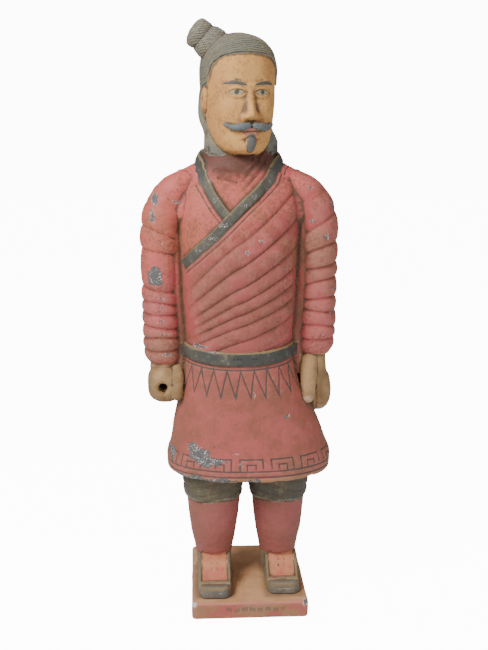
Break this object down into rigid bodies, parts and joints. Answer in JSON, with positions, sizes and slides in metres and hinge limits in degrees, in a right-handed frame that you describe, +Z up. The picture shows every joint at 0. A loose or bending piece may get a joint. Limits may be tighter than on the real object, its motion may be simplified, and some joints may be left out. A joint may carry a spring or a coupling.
{
  "type": "painted terracotta warrior statue",
  "caption": "Standing robed warrior statue with a side topknot, one hand closed round a lost shaft, on a low block plinth.",
  "frame": {"origin": "centre of the plinth's underside", "axes": "+Z up along the figure's height; the figure faces -Y; +X is the figure's left"},
  "size_m": [0.3416, 0.232, 0.9991],
  "materials": {
    "painted_terracotta": "worn matt red distemper over fired clay, with dark grey bands",
    "plinth_terracotta": "bare ochre fired clay on top, worn red distemper on the sides"
  },
  "bodies": {
    "root": {"warrior_figure": "painted_terracotta", "plinth": "plinth_terracotta"}
  },
  "joints": []
}
